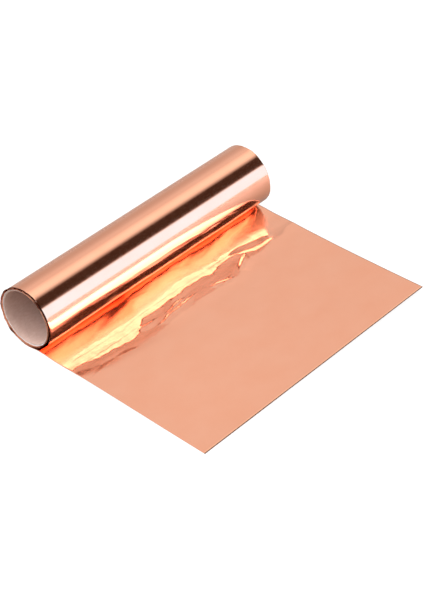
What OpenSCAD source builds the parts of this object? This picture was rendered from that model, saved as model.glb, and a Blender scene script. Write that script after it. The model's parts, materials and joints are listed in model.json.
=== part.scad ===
// A roll of copper foil on a paper core, resting on a table with its free end laid out flat.
// X runs along the laid-out foil, away from the roll. Y runs along the roll. Z is up.
// The origin is on the table, below the middle of the roll and its laid-out foil together.

/* [Copper foil] */
// Width of the foil
foil_w = 200; // [100:5:400]
// Thickness of the foil
foil_t = 0.1; // [0.1:0.05:0.2]
// Turns of foil on the core
foil_turns = 10; // [3:1:30]
// Length of foil laid out, from the line that the roll rests on to the free end
laid_l = 145; // [60:5:300]

/* [Paper core] */
// Inside diameter of the core
core_bore_d = 36; // [20:1:80]
// Thickness of the smooth liner inside the core
core_liner_t = 0.35; // [0.25:0.05:0.6]
// Thickness of the board ply in the middle of the core
core_board_t = 0.5; // [0.3:0.05:2]
// Thickness of the cover ply that the foil is wound on
core_cover_t = 0.35; // [0.25:0.05:0.6]
// How far each end of the core sits inside the edge of the foil
core_recess = 1; // [0:0.25:3]

/* [Where the roll rests] */
// Flat foil that reaches past the contact line, under the back of the roll
rest_behind = 1.5; // [0.5:0.25:3]
// Flat foil in front of the contact line that keeps its shape as the roll travels
rest_ahead = 8; // [4:0.5:12]

/* [Hidden] */
$fn = 180;

// Radii of the core, from its bore out
liner_r = core_bore_d / 2 + core_liner_t;
board_r = liner_r + core_board_t;
cover_r = board_r + core_cover_t;
core_l = foil_w - 2 * core_recess;

// Radii of the wound foil: one turn adds one thickness
roll_r = cover_r + foil_turns * foil_t;
outer_turn_r = roll_r - foil_t;

// The roll lies on its own laid-out foil, and X is centred on the whole object
axis_z = foil_t + roll_r;
contact_x = (roll_r - laid_l) / 2;

// A tube on the roll's axis
module roll_tube(outer, inner, length) {
    translate([contact_x, 0, axis_z])
        rotate([90, 0, 0])
            difference() {
                cylinder(h = length, r = outer, center = true);
                cylinder(h = length + 2, r = inner, center = true);
            }
}

// Flat foil on the table, between two distances ahead of the contact line
module flat_foil(from, to) {
    translate([contact_x + from, -foil_w / 2, 0])
        cube([to - from, foil_w, foil_t]);
}

// Smooth white paper that lines the core
module core_liner() {
    color("whitesmoke") roll_tube(liner_r, core_bore_d / 2, core_l);
}

// Grey board that gives the core its stiffness
module core_board() {
    color("tan") roll_tube(board_r, liner_r, core_l);
}

// White paper that covers the core
module core_cover() {
    color("white") roll_tube(cover_r, board_r, core_l);
}

// Every turn of foil but the last
module foil_inner_turns() {
    color("chocolate") roll_tube(outer_turn_r, cover_r, foil_w);
}

// The last turn, which is the copper that shows
module foil_outer_turn() {
    color("sandybrown") roll_tube(roll_r, outer_turn_r, foil_w);
}

// The strip pinched between the roll and the table, which travels with the roll
module foil_under_roll() {
    color("peru") flat_foil(-rest_behind, rest_ahead);
}

// The foil that has left the roll and lies on the table, out to its cut edge
module foil_laid_out() {
    color("darksalmon") flat_foil(rest_ahead, laid_l);
}

core_liner();
core_board();
core_cover();
foil_inner_turns();
foil_outer_turn();
foil_under_roll();
foil_laid_out();
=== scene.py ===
"""The looks of a roll of copper foil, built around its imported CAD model. Everything is in metres."""

import json
import math

import bpy
import numpy as np
from mathutils import Matrix, Vector, noise


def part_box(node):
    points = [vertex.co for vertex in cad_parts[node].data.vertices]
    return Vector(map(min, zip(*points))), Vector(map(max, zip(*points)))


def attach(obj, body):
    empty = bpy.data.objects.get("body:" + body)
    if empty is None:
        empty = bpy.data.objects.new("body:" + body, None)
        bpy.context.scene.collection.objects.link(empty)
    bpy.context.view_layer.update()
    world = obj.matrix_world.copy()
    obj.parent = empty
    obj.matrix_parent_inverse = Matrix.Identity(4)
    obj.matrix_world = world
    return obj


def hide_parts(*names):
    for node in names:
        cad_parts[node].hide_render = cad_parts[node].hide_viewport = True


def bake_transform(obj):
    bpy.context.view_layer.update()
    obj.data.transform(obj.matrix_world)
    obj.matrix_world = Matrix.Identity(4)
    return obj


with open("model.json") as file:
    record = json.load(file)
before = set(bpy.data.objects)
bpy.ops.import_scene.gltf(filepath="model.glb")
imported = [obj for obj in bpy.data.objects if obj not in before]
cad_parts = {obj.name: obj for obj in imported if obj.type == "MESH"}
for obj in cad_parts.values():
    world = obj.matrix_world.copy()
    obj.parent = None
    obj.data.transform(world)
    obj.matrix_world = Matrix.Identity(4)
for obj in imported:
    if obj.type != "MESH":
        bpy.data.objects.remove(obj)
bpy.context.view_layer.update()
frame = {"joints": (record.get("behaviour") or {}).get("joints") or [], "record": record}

MM = 0.001

# ---------------------------------------------------------------- measures, from the CAD frame

TURN = next(j for j in frame["joints"] if j["name"] == "roll_turn")
AXIS = Vector(TURN["pos_m"])
OUTER_LOW, OUTER_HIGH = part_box("foil_outer_turn")
TURNS_LOW, TURNS_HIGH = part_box("foil_inner_turns")
COVER_LOW, COVER_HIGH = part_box("core_cover")
BOARD_LOW, BOARD_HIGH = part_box("core_board")
LINER_LOW, LINER_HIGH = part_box("core_liner")
REST_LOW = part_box("foil_under_roll")[0]
LAID_LOW, LAID_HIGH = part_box("foil_laid_out")


def outer_radius(low, high):
    """The radius of a tube along Y, from its box."""
    return (high.x - low.x) / 2


ROLL_R = outer_radius(OUTER_LOW, OUTER_HIGH)
TURNS_R = outer_radius(TURNS_LOW, TURNS_HIGH)
COVER_R = outer_radius(COVER_LOW, COVER_HIGH)
BOARD_R = outer_radius(BOARD_LOW, BOARD_HIGH)
LINER_R = outer_radius(LINER_LOW, LINER_HIGH)
BORE_R = frame["record"]["mounts"][0]["dims"]["r_mm"] * MM
FOIL_T = LAID_HIGH.z - LAID_LOW.z
WIDTH = LAID_HIGH.y - LAID_LOW.y
LAID_L = LAID_HIGH.x - AXIS.x
REST_BEHIND = AXIS.x - REST_LOW.x

# ---------------------------------------------------------------- camera

# The photograph's own view, from a camera fitted to the outlines of the roll and of the sheet.
LENS_MM = 133.73
VIEW_AZIMUTH = math.radians(42.22)
VIEW_ELEVATION = math.radians(38.48)
VIEW_ROLL = math.radians(-0.26)
VIEW_DISTANCE = 6.846 * WIDTH
AIM = Vector((AXIS.x + 0.2709 * WIDTH, 0.0324 * WIDTH, 0))


def make_camera():
    cam = bpy.data.objects.new("camera", bpy.data.cameras.new("camera"))
    bpy.context.scene.collection.objects.link(cam)
    cam.data.lens = LENS_MM
    ca, sa = math.cos(VIEW_AZIMUTH), math.sin(VIEW_AZIMUTH)
    ce, se = math.cos(VIEW_ELEVATION), math.sin(VIEW_ELEVATION)
    back = Vector((sa * ce, -ca * ce, se))
    level = Vector((ca, sa, 0))
    upright = back.cross(level)
    right = level * math.cos(VIEW_ROLL) + upright * math.sin(VIEW_ROLL)
    up = upright * math.cos(VIEW_ROLL) - level * math.sin(VIEW_ROLL)
    turn = Matrix((right, up, back)).transposed().to_4x4()
    cam.matrix_world = Matrix.Translation(AIM + back * VIEW_DISTANCE) @ turn
    cam.data.clip_start = 0.05
    cam.data.clip_end = 50
    bpy.context.scene.camera = cam


# ---------------------------------------------------------------- node helpers


class Tree:
    """The node tree of a material or a world, with short ways to add the nodes that are used here."""

    def __init__(self, owner):
        owner.use_nodes = True
        self.nodes = owner.node_tree.nodes
        self.links = owner.node_tree.links

    def put(self, value, socket):
        """Link another node's output to this input, or set a plain value on it."""
        if isinstance(value, bpy.types.NodeSocket):
            self.links.new(value, socket)
        else:
            socket.default_value = value

    def maths(self, operation, first, second=None):
        node = self.nodes.new("ShaderNodeMath")
        node.operation = operation
        self.put(first, node.inputs[0])
        if second is not None:
            self.put(second, node.inputs[1])
        return node.outputs[0]

    def between(self, value, low, high, start=0.3, end=0.7):
        """Low where the value is at start, high where it is at end, and clamped to them outside."""
        node = self.nodes.new("ShaderNodeMapRange")
        for name, number in (("From Min", start), ("From Max", end), ("To Min", low), ("To Max", high)):
            node.inputs[name].default_value = number
        self.links.new(value, node.inputs["Value"])
        return node.outputs[0]

    def colours(self, value, stops):
        """A colour that changes with the value, through stops of (value, colour)."""
        ramp = self.nodes.new("ShaderNodeValToRGB")
        elements = ramp.color_ramp.elements
        while len(elements) < len(stops):
            elements.new(0.5)
        for element, (position, colour) in zip(elements, stops):
            element.position = position
            element.color = (*colour, 1)
        self.links.new(value, ramp.inputs[0])
        return ramp.outputs[0]

    def mixed(self, blend, factor, first, second):
        """The first colour, blended with the second one as far as the factor says."""
        mix = self.nodes.new("ShaderNodeMix")
        mix.data_type = "RGBA"
        mix.blend_type = blend
        for name, value in (("Factor", factor), ("A", first), ("B", second)):
            self.put(value, mix.inputs[name])
        return mix.outputs["Result"]

    def either(self, factor, first, second):
        """The first shader where the factor is 0 and the second where it is 1."""
        mix = self.nodes.new("ShaderNodeMixShader")
        for value, socket in zip((factor, first, second), mix.inputs):
            self.links.new(value, socket)
        return mix.outputs[0]

    def background(self, colour, strength=1.0):
        node = self.nodes.new("ShaderNodeBackground")
        node.inputs["Strength"].default_value = strength
        self.put(colour, node.inputs["Color"])
        return node.outputs[0]


# ---------------------------------------------------------------- light and floor

# What the foil mirrors is a tunnel of light along Y, which differs by the angle round Y: from -X, under the
# floor, to +X at 0, over the top at 90, and back to -X. A bright softbox stands low ahead of the roll, a dark
# gap follows, and a broad dimmer one hangs overhead. Each row is an angle in degrees and the colour and
# brightness there.
STUDIO = [
    (-180, (0.72, 0.72, 0.72)),
    (-90, (0.8, 0.8, 0.8)),
    (-4, (0.9, 0.9, 0.9)),
    (2, (1.3, 1.3, 1.3)),
    (5, (6, 6.3, 7.6)),
    (29, (6, 6.3, 7.6)),
    (43, (0.12, 0.07, 0.05)),
    (50, (0.064, 0.04, 0.03)),
    (76, (0.064, 0.04, 0.03)),
    (87, (1.05, 1.05, 1.05)),
    (95, (1.35, 1.38, 1.36)),
    (108, (1.32, 1.34, 1.32)),
    (121, (0.93, 0.92, 0.92)),
    (131, (0.9, 0.9, 0.9)),
    (145, (0.72, 0.69, 0.68)),
    (157, (0.65, 0.61, 0.58)),
    (172, (0.64, 0.62, 0.6)),
    (180, (0.68, 0.68, 0.68)),
]
STUDIO_TOP = 7.6

# What lights the paper and the floor is a plain soft dome: cool and bright on its key side, dim and warm away
# from it.
KEY_SIDE = Vector((-0.35, -0.5, 0.79)).normalized()
DOME_KEY = (3.7, 3.95, 4.2)
DOME_AWAY = (0.08, 0.05, 0.035)
DOME_FOCUS = 3.5
BACKDROP = (1, 1, 1)

# The softbox is bright enough to be near white after two mirrorings. Mirrored only once, it is held just
# below white. A ray that reaches the world counts as one bounce deeper than the mirrorings behind it.
ONE_MIRROR_CEILING = (1.12, 1.95, 2.85)
ONE_MIRROR_DEPTH = 2

# The lights stand towards +Y. Towards -Y, on the camera's side, the studio is no brighter than this ceiling.
# Above a Y of 0 the ceiling fades out, and it has gone at the Y where that side ends.
NEAR_CEILING = (0.95, 0.95, 0.95)
NEAR_SIDE_ENDS = 0.3


def tunnel_light(tree, direction, path):
    """The studio that the foil mirrors."""
    axes = tree.nodes.new("ShaderNodeSeparateXYZ")
    tree.links.new(direction, axes.inputs[0])
    angle = tree.maths("ARCTAN2", axes.outputs["Z"], axes.outputs["X"])
    share = tree.between(angle, 0, 1, start=-math.pi, end=math.pi)
    stops = [(degrees / 360 + 0.5, [c / STUDIO_TOP for c in level]) for degrees, level in STUDIO]
    studio = tree.colours(share, stops)
    mirrored_once = tree.maths("LESS_THAN", path.outputs["Ray Depth"], ONE_MIRROR_DEPTH + 0.5)
    near_side = tree.between(axes.outputs["Y"], 1, 0, start=0, end=NEAR_SIDE_ENDS)
    for where, ceiling in ((mirrored_once, ONE_MIRROR_CEILING), (near_side, NEAR_CEILING)):
        limit = [c / STUDIO_TOP for c in ceiling] + [1]
        studio = tree.mixed("DARKEN", where, studio, limit)
    return tree.background(studio, STUDIO_TOP)


def dome_light(tree, direction):
    """The dome that lights the paper and the floor."""
    towards = tree.nodes.new("ShaderNodeVectorMath")
    towards.operation = "DOT_PRODUCT"
    tree.links.new(direction, towards.inputs[0])
    towards.inputs[1].default_value = KEY_SIDE
    share = tree.between(towards.outputs["Value"], 0, 1, start=-1, end=1)
    focused = tree.maths("POWER", share, DOME_FOCUS)
    return tree.background(tree.mixed("MIX", focused, (*DOME_AWAY, 1), (*DOME_KEY, 1)))


def make_world():
    world = bpy.data.worlds.new("studio")
    bpy.context.scene.world = world
    world.cycles.sampling_method = "NONE"
    tree = Tree(world)
    tree.nodes.clear()
    direction = tree.nodes.new("ShaderNodeTexCoord").outputs["Generated"]
    path = tree.nodes.new("ShaderNodeLightPath")
    tunnel = tunnel_light(tree, direction, path)
    lit = tree.either(path.outputs["Is Diffuse Ray"], tunnel, dome_light(tree, direction))
    seen = tree.either(path.outputs["Is Camera Ray"], lit, tree.background((*BACKDROP, 1)))
    out = tree.nodes.new("ShaderNodeOutputWorld")
    tree.links.new(seen, out.inputs["Surface"])


FLOOR_SIDE = 6.0
FLOOR_GAP = 0.02 * MM
FLOOR_COLOUR = (0.37, 0.32, 0.28)
FLOOR_GLOW = 1.5
FLOOR_LIFT = 0.62


def make_floor():
    """A pale floor, lifted most of the way to white so that only a faint shadow shows on it."""
    half = FLOOR_SIDE / 2
    mesh = bpy.data.meshes.new("floor")
    corners = [(-half, -half), (half, -half), (half, half), (-half, half)]
    mesh.from_pydata([(x, y, -FLOOR_GAP) for x, y in corners], [], [(0, 1, 2, 3)])
    floor = bpy.data.objects.new("floor", mesh)
    bpy.context.scene.collection.objects.link(floor)
    paint = bpy.data.materials.new("pale_floor")
    tree = Tree(paint)
    shader = tree.nodes["Principled BSDF"]
    shader.inputs["Base Color"].default_value = (*FLOOR_COLOUR, 1)
    shader.inputs["Roughness"].default_value = 0.5
    shader.inputs["Specular IOR Level"].default_value = 0.3
    glow = tree.nodes.new("ShaderNodeEmission")
    glow.inputs["Color"].default_value = (1, 1, 1, 1)
    glow.inputs["Strength"].default_value = FLOOR_GLOW
    path = tree.nodes.new("ShaderNodeLightPath")
    share = tree.maths("MULTIPLY", path.outputs["Is Camera Ray"], FLOOR_LIFT)
    lifted = tree.either(share, shader.outputs[0], glow.outputs[0])
    tree.links.new(lifted, tree.nodes["Material Output"].inputs["Surface"])
    mesh.materials.append(paint)


# ---------------------------------------------------------------- materials

# Where the core's spiral seams lie, in turns. It also keeps the count of turns above 0 all along the core.
SEAM_START = 40.3


class Paint(Tree):
    """A new material for a piece."""

    def __init__(self, name):
        self.material = bpy.data.materials.new(name)
        super().__init__(self.material)
        self.shader = self.nodes["Principled BSDF"]
        self.place = self.nodes.new("ShaderNodeTexCoord").outputs["Object"]

    def set(self, name, value):
        self.put(value, self.shader.inputs[name])

    def scaled(self, x, y, z):
        """The place on the object, in cycles per metre along each axis."""
        mapping = self.nodes.new("ShaderNodeMapping")
        mapping.inputs["Scale"].default_value = (x, y, z)
        self.links.new(self.place, mapping.inputs["Vector"])
        return mapping.outputs[0]

    def noise(self, scale, detail=3.0, roughness=0.5):
        node = self.nodes.new("ShaderNodeTexNoise")
        node.inputs["Scale"].default_value = 1
        node.inputs["Detail"].default_value = detail
        node.inputs["Roughness"].default_value = roughness
        self.links.new(self.scaled(*scale), node.inputs["Vector"])
        return node.outputs["Fac"]

    def bump(self, height, distance, strength=1.0, below=None):
        node = self.nodes.new("ShaderNodeBump")
        node.inputs["Strength"].default_value = strength
        node.inputs["Distance"].default_value = distance
        self.links.new(height, node.inputs["Height"])
        if below is not None:
            self.links.new(below, node.inputs["Normal"])
        return node.outputs[0]

    def spiral(self, pitch, width):
        """1 on a line of this width that winds round the roll's axis, and 0 elsewhere."""
        split = self.nodes.new("ShaderNodeSeparateXYZ")
        self.links.new(self.place, split.inputs[0])
        up = self.maths("SUBTRACT", split.outputs["Z"], AXIS.z)
        ahead = self.maths("SUBTRACT", split.outputs["X"], AXIS.x)
        turns = self.maths("DIVIDE", self.maths("ARCTAN2", up, ahead), 2 * math.pi)
        along = self.maths("DIVIDE", split.outputs["Y"], pitch)
        place = self.maths("FRACT", self.maths("ADD", self.maths("ADD", along, turns), SEAM_START))
        aside = self.maths("ABSOLUTE", self.maths("SUBTRACT", place, 0.5))
        half = width / pitch / 2
        return self.between(aside, 1, 0, start=half * 0.4, end=half)


COPPER_DARK = (0.945, 0.435, 0.275)
COPPER_LIGHT = (0.955, 0.46, 0.3)


def copper_paint(name, roughness):
    """Bright rolled copper: faint rolling lines along X, cloudy tarnish and a little uneven gloss."""
    paint = Paint(name)
    paint.set("Metallic", 1.0)
    cloud = paint.noise((55, 40, 55), detail=4)
    paint.set("Base Color", paint.colours(cloud, [(0.3, COPPER_DARK), (0.7, COPPER_LIGHT)]))
    gloss = paint.noise((140, 300, 140), detail=3)
    paint.set("Roughness", paint.between(gloss, roughness * 0.85, roughness * 1.2))
    lines = paint.noise((25, 5200, 25), detail=2)
    paint.set("Normal", paint.bump(lines, 0.0012 * MM))
    return paint.material


def cut_edge_and_shade_paint(name):
    """The slit edges of the foil: torn and tarnished, with bright specks of bare copper. Its near-black
    colour is partly painted shade.
    """
    paint = Paint(name)
    paint.set("Metallic", 1.0)
    specks = paint.noise((480, 480, 480), detail=3, roughness=0.65)
    # Mostly near-black: the torn edges' tarnish, and painted shade for the dark near rim. The last stop is
    # bare copper.
    stops = [(0.48, (0.05, 0.011, 0.006)), (0.57, (0.15, 0.036, 0.02)), (0.64, (0.75, 0.38, 0.27))]
    paint.set("Base Color", paint.colours(specks, stops))
    # A dark edge tint that dims the grazing reflections: painted shade.
    paint.set("Specular Tint", (0.35, 0.14, 0.09, 1))
    paint.set("Roughness", paint.between(specks, 0.65, 0.4))
    paint.set("Normal", paint.bump(specks, 0.12 * MM, 0.8))
    return paint.material


def paper_paint(name, light, dark, fibre, seam_pitch):
    """Matt paper or board: felted fibres, and the spiral seam where the strip's edges meet."""
    paint = Paint(name)
    fibres = paint.noise((fibre, fibre * 0.35, fibre), detail=5, roughness=0.6)
    felt = paint.colours(fibres, [(0.35, dark), (0.65, light)])
    seam = paint.spiral(seam_pitch, 0.5 * MM)
    shade = (0.92, 0.92, 0.92, 1)
    paint.set("Base Color", paint.mixed("MULTIPLY", seam, felt, shade))
    paint.set("Roughness", 0.85)
    paint.set("Specular IOR Level", 0.3)
    fuzz = paint.bump(fibres, 0.03 * MM, 0.6)
    paint.set("Normal", paint.bump(seam, -0.03 * MM, 1.0, below=fuzz))
    return paint.material


# ---------------------------------------------------------------- mesh helpers


def add_piece(name, points, faces, material):
    """A new visible piece with smooth faces."""
    mesh = bpy.data.meshes.new(name)
    mesh.from_pydata([tuple(p) for p in points], [], faces)
    mesh.validate()
    mesh.materials.append(material)
    mesh.polygons.foreach_set("use_smooth", [True] * len(mesh.polygons))
    mesh.update()
    piece = bpy.data.objects.new(name, mesh)
    bpy.context.scene.collection.objects.link(piece)
    return piece


def ring_faces(rows, columns, closed_rows, closed_columns):
    """Quads over a grid of points, rows by columns, joined up on itself where it is closed."""
    faces = []
    for i in range(rows if closed_rows else rows - 1):
        a, b = i * columns, (i + 1) % rows * columns
        for j in range(columns if closed_columns else columns - 1):
            k = (j + 1) % columns
            faces.append((a + j, b + j, b + k, a + k))
    return faces


def smooth(value, start, end):
    """0 before start and 1 after end, with a smooth rise between them."""
    t = np.clip((value - start) / (end - start), 0, 1)
    return t * t * (3 - 2 * t)


# ---------------------------------------------------------------- the laid-out foil

# The foil is crinkled between the roll and about 50 mm ahead of it, and how it mirrors the roll depends on
# its slope to within a degree. So the crinkles are set by slope: zones across the foil, each with the slope
# that mirrors the same part of the roll all over. In mm: how far across, where the bright zone starts, where
# the salmon zone starts, and where the flat foil starts, with the slope there in degrees.
ZONES = [
    (-10, 31, 37.5, 40, 2.0),
    (0, 31, 38, 41.5, 2.5),
    (10, 30.5, 39, 45, 3.5),
    (20, 30, 41, 48, 4.0),
    (35, 30, 43, 50, 4.0),
    (46, 30, 44.5, 51.5, 3.5),
    (53, 30.5, 43, 52, 3.0),
    (58, 31, 39, 52.5, 2.0),
    (64, 32, 36.5, 52.5, 1.0),
    (74, 32.5, 36.5, 51.5, -1.5),
    (86, 31, 36, 50.5, -1.5),
    (96, 28.5, 36, 50, -1.5),
    (103, 27, 35.5, 50, -1.5),
    (112, 29, 36, 50.5, -1.5),
    (125, 30.5, 37, 51.5, -1.5),
    (134, 30.5, 36, 51.5, -1.5),
    (142, 29.5, 34.5, 49.5, -1.5),
    (148, 30, 35, 46.5, -1.5),
    (154, 31, 38, 44, -1.5),
    (162, 32, 41, 43.5, -1.5),
    (174, 33, 42, 43.5, -1.5),
    (186, 35, 42, 43, -1.5),
    (193, 36, 40, 41, -1.5),
    (210, 37, 38.5, 39, -1.5),
]

# Single sharp creases: (across, ahead) at both ends in mm, how wide the steep flank is in mm, and how steep
# it is, where 1 mirrors the same part of the roll as the bright zone does.
CREASES = [
    ((62, 48.5), (106, 43), 1.7, 1.0),
    ((74, 44), (98, 40.5), 1.2, 0.9),
    ((50, 41), (72, 43), 1.2, 0.7),
    ((112, 45), (134, 50), 1.5, 1.0),
    ((120, 50), (134, 46.5), 0.9, 0.8),
    ((138, 49), (157, 37.5), 2.2, 1.1),
    ((84, 38), (112, 33), 1.3, 0.4),
    ((16, 33.5), (46, 38.5), 1.3, 0.25),
    ((122, 26.5), (144, 33.5), 1.4, 0.45),
    ((58, 33), (84, 38.5), 1.2, 0.4),
    ((-6, 35), (16, 31), 1.3, 0.3),
    ((90, 23), (118, 27), 1.3, 0.25),
    ((106, 17), (126, 22), 1.6, 0.3),
    ((150, 19), (170, 14), 1.6, 0.3),
    ((26, 49), (46, 54), 2.4, 0.3),
    ((2, 52), (28, 48.5), 2.2, 0.25),
    ((166, 24), (184, 30), 1.6, 0.35),
    ((70, 18), (88, 21), 1.5, 0.25),
]

# Salmon patches inside the bright zone: (across, ahead) at both ends, and half their width, in mm.
PATCHES = [
    ((146, 32.5), (182, 38.5), 2.6),
    ((60, 39), (74, 42), 0.9),
]

# Small random waves: size in mm along X, how many times longer they are along Y, height in mm near the roll,
# and height in mm on the flat foil. They come in and change over between these places in mm ahead.
WAVES = [
    (26, 1, 0.0, 0.07),
    (13, 1, 0.03, 0.014),
    (5, 1.5, 0.013, 0.002),
    (2.2, 5, 0.008, 0.0),
    (1.8, 1.6, 0.003, 0.0),
]
WAVES_COME = (5, 16)
WAVES_CHANGE = (45, 62)
# The waves' random heights are on a square grid with this many points a side, counted from this one.
WAVE_GRID = 128
WAVE_START = 20

# A flat mirror here shows the camera what lies this many degrees round from +X.
FLAT_ANGLE = 130.0
# How much steeper the bright and the salmon zones are than foil that just starts to mirror the roll, in
# degrees, and the nearest place in mm ahead that this is worked out for.
BRIGHT_TILT = 7.1
SALMON_TILT = 0.3
GRAZING_FROM = 22
# Over how many mm each side of its edge a zone or a patch fades into the next one. The slope where the flat
# foil starts levels out between these distances beyond that edge.
BRIGHT_FADE = 0.7
SALMON_FADE = 0.35
FLAT_FADE = 0.6
PATCH_FADE = 0.4
LEVELS_OUT = (3, 9)
# How many degrees of tilt along X a sideways slope of 1 is worth, to a camera that looks along both.
SIDEWAYS_TILT = 28.0
# Between the roll and the bright zone the foil is buckled: mm ahead, and its slope there in degrees.
BUCKLES = [(14.4, -0.8), (15.6, -3.9), (21, -3.2), (26, 0.2), (30, 1)]
# The top of the buckle next to the roll, in mm ahead.
BUCKLE_PEAK = 10.5
# How far the crinkled foil is lifted off the table, and how much more round a place that would otherwise lie
# on it, both in mm. That place is this many mm across, and its lift fades over as much again.
BUCKLE_LIFT = 0.6
PATCH_LIFT = 1.4
LOW_PATCH = 45.0
# From this many mm ahead the foil comes down to the table, and its far corner rises to this height in mm.
SETTLES_FROM = 50
CORNER_LIFT = 3.0
CORNER_RISE_ENDS = 1.65 * (LAID_L / MM)
# The mesh is fine over the crinkles, between these places in mm ahead, with rows this far apart. Past them it
# has this many rows, and every row has this many points.
FINE_FROM = 8
FINE_TO = 60
FINE_STEP = 0.35
FLAT_ROWS = 60
ROW_POINTS = 301


def random_waves(x, y, size, seed):
    """Smooth random heights from -1 to 1, with bumps of about this size."""
    side = WAVE_GRID
    grid = np.random.default_rng(seed).uniform(-1, 1, (side, side))
    u, v = x / size + WAVE_START, y / size + WAVE_START
    i, j = np.floor(u).astype(int), np.floor(v).astype(int)
    s, t = smooth(u - i, 0, 1), smooth(v - j, 0, 1)
    low = grid[i % side, j % side] * (1 - s) + grid[(i + 1) % side, j % side] * s
    high = grid[i % side, (j + 1) % side] * (1 - s) + grid[(i + 1) % side, (j + 1) % side] * s
    return low * (1 - t) + high * t


def grazing_tilt(x, height):
    """The tilt in degrees at which the foil, x mm ahead at this height, just starts to mirror the roll."""
    up = AXIS.z / MM - height
    to_axis = np.degrees(np.arctan2(up, x))
    half_roll = np.degrees(np.arcsin(np.minimum(ROLL_R / MM / np.hypot(x, up), 1)))
    return (180 - FLAT_ANGLE - to_axis - half_roll) / 2


def zone_edges(y):
    """Where the three zones start at each place across the foil, and the slope where the flat foil starts."""
    knots = np.array(ZONES)
    at = knots[:, 0]
    k = np.clip(np.searchsorted(at, y, side="right") - 1, 0, len(at) - 2)
    t = (y - at[k]) / (at[k + 1] - at[k])
    t = (t + smooth(t, 0, 1)) / 2
    return [knots[k, c] * (1 - t) + knots[k + 1, c] * t for c in (1, 2, 3, 4)]


def zone_height(x, y):
    """The height in mm that the zones' slopes add up to, from the free end back to the roll."""
    bright, salmon, flat, past = zone_edges(y)
    ragged = x + random_waves(x * 0.3, y, 7, 3) + 0.6 * random_waves(x, y, 2.5, 4)
    in_bright = smooth(ragged, bright - BRIGHT_FADE, bright + BRIGHT_FADE)
    in_salmon = smooth(ragged, salmon - SALMON_FADE, salmon + SALMON_FADE)
    for start, end, half in PATCHES:
        along, aside = aside_of(x, y, start, end)
        reach = half * np.sqrt(np.sin(math.pi * along)) + 0.01
        in_patch = 1 - smooth(np.abs(aside), reach - PATCH_FADE, reach + PATCH_FADE)
        in_salmon = np.maximum(in_salmon, in_patch)
    in_flat = smooth(ragged, flat - FLAT_FADE, flat + FLAT_FADE)
    buckled = np.interp(ragged, *zip(*BUCKLES))
    settled = past * (1 - smooth(x, flat + LEVELS_OUT[0], flat + LEVELS_OUT[1]))
    low_patch = np.exp(-(((y - LOW_PATCH) / LOW_PATCH) ** 2))
    lift = (BUCKLE_LIFT + PATCH_LIFT * low_patch) * (1 - smooth(x, SETTLES_FROM, LAID_L / MM))
    height = lift.copy()
    step = y[0, 1] - y[0, 0]
    for i in range(len(x) - 2, -1, -1):
        last = height[i + 1]
        graze = grazing_tilt(np.maximum(x[i], GRAZING_FROM), last)
        tilt = buckled[i] * (1 - in_bright[i]) + (graze + BRIGHT_TILT) * in_bright[i]
        tilt = tilt * (1 - in_salmon[i]) + (graze + SALMON_TILT) * in_salmon[i]
        tilt = tilt * (1 - in_flat[i]) + settled[i] * in_flat[i]
        tilt += SIDEWAYS_TILT * np.diff(last, prepend=last[0]) / step
        height[i] = last - np.tan(np.radians(tilt)) * (x[i + 1] - x[i]) + lift[i] - lift[i + 1]
    peak = height[np.argmin(np.abs(x[:, 0] - BUCKLE_PEAK))]
    return np.where(x < BUCKLE_PEAK, peak, height)


def aside_of(x, y, start, end):
    """How far a place is along a line across the foil, from 0 to 1, and ahead of that line, in mm."""
    along = np.clip((y - start[0]) / (end[0] - start[0]), 0, 1)
    wander = 0.6 * random_waves(y, y * 0 + start[1], 5, 5) + 0.3 * random_waves(y, y * 0 + end[1], 2.5, 6)
    return along, x - (start[1] + (end[1] - start[1]) * along) + wander


def crease_height(x, y, start, end, wide, steep):
    """A crease, steep towards the roll and long towards the free end, tapered at both ends. In mm."""
    along, aside = aside_of(x, y, start, end)
    size = np.maximum(smooth(along, 0, 0.35) * (1 - smooth(along, 0.6, 1)), 0.001)
    askew = (end[1] - start[1]) / (end[0] - start[0])
    slope = steep * (BRIGHT_TILT - SALMON_TILT) / (math.degrees(1) + SIDEWAYS_TILT * askew)
    reach = np.where(aside < 0, wide, 4 * wide) * size
    return slope * wide * size * np.clip(1 - np.abs(aside) / reach, 0, 1)


def foil_height(x, y):
    """How far the laid-out foil stands off the table, x ahead of the contact line and y across, all in mm."""
    height = zone_height(x, y) * smooth(x, 1, BUCKLE_PEAK + 1)
    for line in CREASES:
        height += crease_height(x, y, *line)
    flat = smooth(x, *WAVES_CHANGE)
    for seed, (size, longer, near, far) in enumerate(WAVES):
        high = (near * (1 - flat) + far * flat) * smooth(x, *WAVES_COME)
        height += high * random_waves(x, y / longer, size, seed + 10)
    rise = smooth(x, SETTLES_FROM, CORNER_RISE_ENDS)
    most = smooth(LAID_L / MM, SETTLES_FROM, CORNER_RISE_ENDS)
    corner = CORNER_LIFT * (y / (WIDTH / MM)) * rise / most
    return np.maximum(height + corner, 0)


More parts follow.
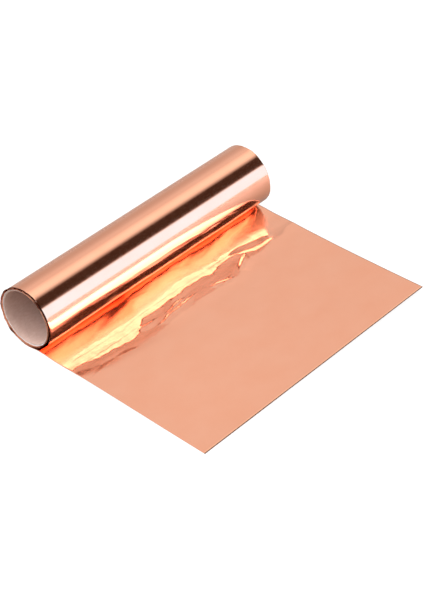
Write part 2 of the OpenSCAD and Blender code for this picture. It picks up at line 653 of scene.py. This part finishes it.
def make_laid_foil(material):
    """The foil from just behind the line that the roll rests on, out to its cut end, as one thick sheet."""
    near = np.arange(-REST_BEHIND / MM, FINE_FROM, 1)
    crinkled = np.arange(FINE_FROM, FINE_TO, FINE_STEP)
    flat = np.linspace(FINE_TO, LAID_L / MM, FLAT_ROWS)
    ahead = np.concatenate([near, crinkled, flat])
    across = np.linspace(0, WIDTH / MM, ROW_POINTS)
    x, y = np.meshgrid(ahead, across, indexing="ij")
    z = foil_height(x, y)
    top = np.stack([AXIS.x + x * MM, LAID_LOW.y + y * MM, z * MM + FOIL_T], -1).reshape(-1, 3)
    bottom = top - (0, 0, FOIL_T)
    rows, columns = x.shape
    count = rows * columns
    faces = ring_faces(rows, columns, False, False)
    faces += [tuple(count + i for i in reversed(f)) for f in ring_faces(rows, columns, False, False)]
    edge = list(range(columns))
    edge += [i * columns + columns - 1 for i in range(1, rows)]
    edge += [(rows - 1) * columns + j for j in range(columns - 2, -1, -1)]
    edge += [i * columns for i in range(rows - 2, 0, -1)]
    for a, b in zip(edge, edge[1:] + edge[:1]):
        faces.append((a, b, count + b, count + a))
    piece = add_piece("laid_out_foil", np.concatenate([top, bottom]), faces, material)
    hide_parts("foil_laid_out", "foil_under_roll")
    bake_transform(piece)


# ---------------------------------------------------------------- the wound foil


def tube_point(angle, radius, across):
    """A place round the roll's axis, at this angle from +X over the top, and this far along it."""
    return (AXIS.x + radius * math.cos(angle), AXIS.y + across, AXIS.z + radius * math.sin(angle))


# How far in from each end the foil has more points, because its overhanging edges are dented there.
EDGE_STEPS = [step * MM for step in (0, 0.3, 0.7, 1.2, 2.0, 3.2)]
# How far in from the edge the dents reach, and how deep they are at the near end and at the far one.
DENT_REACH = 2.2 * MM
DENT = 0.55 * MM
FAR_DENT = 0.15 * MM
# How far in from the end of the CAD foil the slit edges lie on average, which leaves them room to wander.
EDGE_ROOM = 0.25 * MM
# How far the last turn waves inwards from round between its edges.
WAVE = 0.03 * MM
# The turns are drawn thinner than the foil, so that they stay apart: how deep the last turn is, and where the
# two faces of the others lie within their own thickness.
LAST_TURN_DEPTH = 0.7 * FOIL_T
TURN_INSIDE = 0.2 * FOIL_T
TURN_OUTSIDE = 0.8 * FOIL_T
# The last turn's slack: how much, and between which angles below the level of the axis it comes and goes.
SLACK = 0.95 * MM
SLACK_COMES = (-20, 24)
SLACK_GOES = (28, 80)


def dent(angle, inset, end):
    """How far a wound turn is pushed in or out of round near its edge. It stays round where it rests."""
    place = Vector((math.cos(angle) * 3.2, math.sin(angle) * 3.2, 4.7 * end))
    knock = noise.noise(place) + 0.6 * noise.noise(place * 2.9)
    clear = float(smooth(math.sin(angle), -0.97, -0.8))
    deep = DENT if end < 0 else FAR_DENT
    return deep * clear * (knock + 0.25) * (1 - min(inset / DENT_REACH, 1)) ** 2


def slack(angle):
    """How far the last turn may stand off the roll, in metres. It is loose just above the table."""
    below = -math.degrees(math.remainder(angle, 2 * math.pi))
    return SLACK * float(smooth(below, *SLACK_COMES) * (1 - smooth(below, *SLACK_GOES)))


def looseness(across):
    """How much of that slack there is at each place along the roll. It is looser towards its near end."""
    share = across / WIDTH
    trend = 0.82 - 0.1 * share + 0.34 * float(1 - smooth(share, -0.5, -0.1))
    return trend + 0.15 * noise.noise((across * 38, 0.5, 2.5)) + 0.1 * noise.noise((across * 110, 3.5, 1.5))


def edge_wander(angle, turn, end):
    """How far the slit edge of a turn stands out from the stack, in metres."""
    place = Vector((math.cos(angle) * 2.4, math.sin(angle) * 2.4 + turn * 0.8, 9.1 * end + turn * 0.37))
    return 0.28 * MM * noise.noise(place) + 0.18 * MM * noise.noise(place * 3.7)


def turn_row(angle, turn, radius, middle, loose=0.0, most=0.0):
    """Points along Y on one face of a wound turn. Middle is how many there are between its two dented edges.

    Loose is how far the turn stands off the roll, and most is how far outwards its edges may be dented."""
    half = WIDTH / 2 - EDGE_ROOM
    innermost = EDGE_STEPS[-1]
    wavy = middle > 2

    def edge_point(inset, end):
        across = end * (half - inset) + edge_wander(angle, turn, end) * (1 - inset / innermost)
        lift = loose * looseness(across) + min(dent(angle, inset, end), most)
        return tube_point(angle, radius + lift, across)

    def middle_point(k):
        across = (half - innermost) * (2 * k / (middle + 1) - 1)
        place = Vector((math.cos(angle) * 1.6, math.sin(angle) * 1.6, across * 14))
        wave = WAVE * noise.noise(place) * wavy
        lift = loose * looseness(across) - WAVE * wavy
        return tube_point(angle, radius + lift + wave, across)

    row = [edge_point(inset, -1) for inset in EDGE_STEPS]
    row += [middle_point(k) for k in range(1, middle + 1)]
    return row + [edge_point(inset, 1) for inset in reversed(EDGE_STEPS)]


def paint_edges(piece, columns, middle, material, shaded_depth=0):
    """Give the two slit edges their own material. That material is also laid as painted shade on the faces
    next to the near edge, on both sides, as many deep as asked.
    """
    piece.data.materials.append(material)
    outside = 2 * len(EDGE_STEPS) + middle
    near = set(range(columns - 1 - shaded_depth, columns)) | set(range(shaded_depth + 1))
    far = {outside - 1, outside}
    for polygon in piece.data.polygons:
        places = {v % columns for v in polygon.vertices}
        if places <= near or places <= far:
            polygon.material_index = 1


def make_outer_turn(material, edge_and_shade_material):
    """The last turn, which is the copper that shows: a hair out of round, with dented edges."""
    segments = 360
    middle = 60
    inside = ROLL_R - LAST_TURN_DEPTH
    points = []
    for i in range(segments):
        angle = 2 * math.pi * i / segments
        loose = slack(angle)
        points += turn_row(angle, 0, ROLL_R, middle, loose, DENT)
        points += reversed(turn_row(angle, 0, inside, middle, loose, DENT))
    columns = len(points) // segments
    faces = ring_faces(segments, columns, True, True)
    piece = add_piece("outer_turn_of_foil", points, faces, material)
    # The last turn's faces within 1.2 mm of its near edge, inside and out, take the dark edge material:
    # painted shade along the near rim.
    paint_edges(piece, columns, middle, edge_and_shade_material, shaded_depth=3)
    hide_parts("foil_outer_turn")
    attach(piece, "roll")


def make_inner_turns(material, edge_and_shade_material):
    """The turns below it, as one strip wound in a spiral."""
    turns = round((TURNS_R - COVER_R) / FOIL_T)
    segments = 180
    steps = turns * segments + 1
    points = []
    for i in range(steps):
        turn = i / segments
        angle = 2 * math.pi * turn
        radius = COVER_R + (turns - turn) / turns * (TURNS_R - COVER_R - FOIL_T)
        points += turn_row(angle, turn, radius + TURN_OUTSIDE, 1)
        points += reversed(turn_row(angle, turn, radius + TURN_INSIDE, 1))
    columns = len(points) // steps
    faces = ring_faces(steps, columns, False, True)
    faces.append(tuple(range(columns)))
    faces.append(tuple(reversed(range((steps - 1) * columns, steps * columns))))
    piece = add_piece("inner_turns_of_foil", points, faces, material)
    paint_edges(piece, columns, 1, edge_and_shade_material)
    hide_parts("foil_inner_turns")
    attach(piece, "roll")


# ---------------------------------------------------------------- the paper core


def make_ply(node, inner, outer, seed, material):
    """One ply of the core: a tube with softened, slightly ragged rims and a surface that isn't quite true."""
    low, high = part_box(node)
    segments = 192
    lengthways = np.linspace(0, 1, 41)
    ragged = 0.1 * MM
    back = 0.12 * MM
    soft = 0.08 * MM
    untrue = 0.02 * MM
    points = []
    for i in range(segments):
        angle = 2 * math.pi * i / segments
        place = Vector((math.cos(angle) * 6, math.sin(angle) * 6, seed * 5.3))
        near = low.y + back + ragged * noise.noise(place)
        far = high.y - back + ragged * noise.noise(place + Vector((0, 0, 2.1)))
        for radius, side in ((outer, -1), (inner, 1)):
            row = [tube_point(angle, radius + side * soft, near)]
            for t in lengthways:
                across = near + soft + (far - near - 2 * soft) * t
                spot = Vector((math.cos(angle) * 2, math.sin(angle) * 2, across * 30 + seed))
                row.append(tube_point(angle, radius + side * untrue * (1 + noise.noise(spot)), across))
            row.append(tube_point(angle, radius + side * soft, far))
            points += row if side < 0 else reversed(row)
    columns = len(points) // segments
    piece = add_piece(node + "_ply", points, ring_faces(segments, columns, True, True), material)
    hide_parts(node)
    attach(piece, "roll")


# ---------------------------------------------------------------- build

make_camera()
make_world()
make_floor()
COPPER = copper_paint("copper_foil", 0.125)
HANDLED = copper_paint("copper_foil_handled", 0.165)
CUT_EDGE_AND_SHADE = cut_edge_and_shade_paint("copper_foil_cut_edge_and_shade")
LINER = paper_paint(
    "core_liner_paper", light=(0.53, 0.35, 0.285), dark=(0.48, 0.305, 0.245), fibre=900, seam_pitch=62 * MM
)
BOARD = paper_paint(
    "core_board", light=(0.5, 0.42, 0.35), dark=(0.38, 0.31, 0.26), fibre=700, seam_pitch=71 * MM
)
COVER = paper_paint(
    "core_cover_paper", light=(0.86, 0.8, 0.78), dark=(0.78, 0.72, 0.7), fibre=900, seam_pitch=66 * MM
)

make_laid_foil(HANDLED)
make_outer_turn(COPPER, CUT_EDGE_AND_SHADE)
make_inner_turns(COPPER, CUT_EDGE_AND_SHADE)
make_ply("core_liner", BORE_R, LINER_R, 1, LINER)
make_ply("core_board", LINER_R, BOARD_R, 2, BOARD)
make_ply("core_cover", BOARD_R, COVER_R, 3, COVER)

bpy.context.scene.view_settings.view_transform = "Standard"
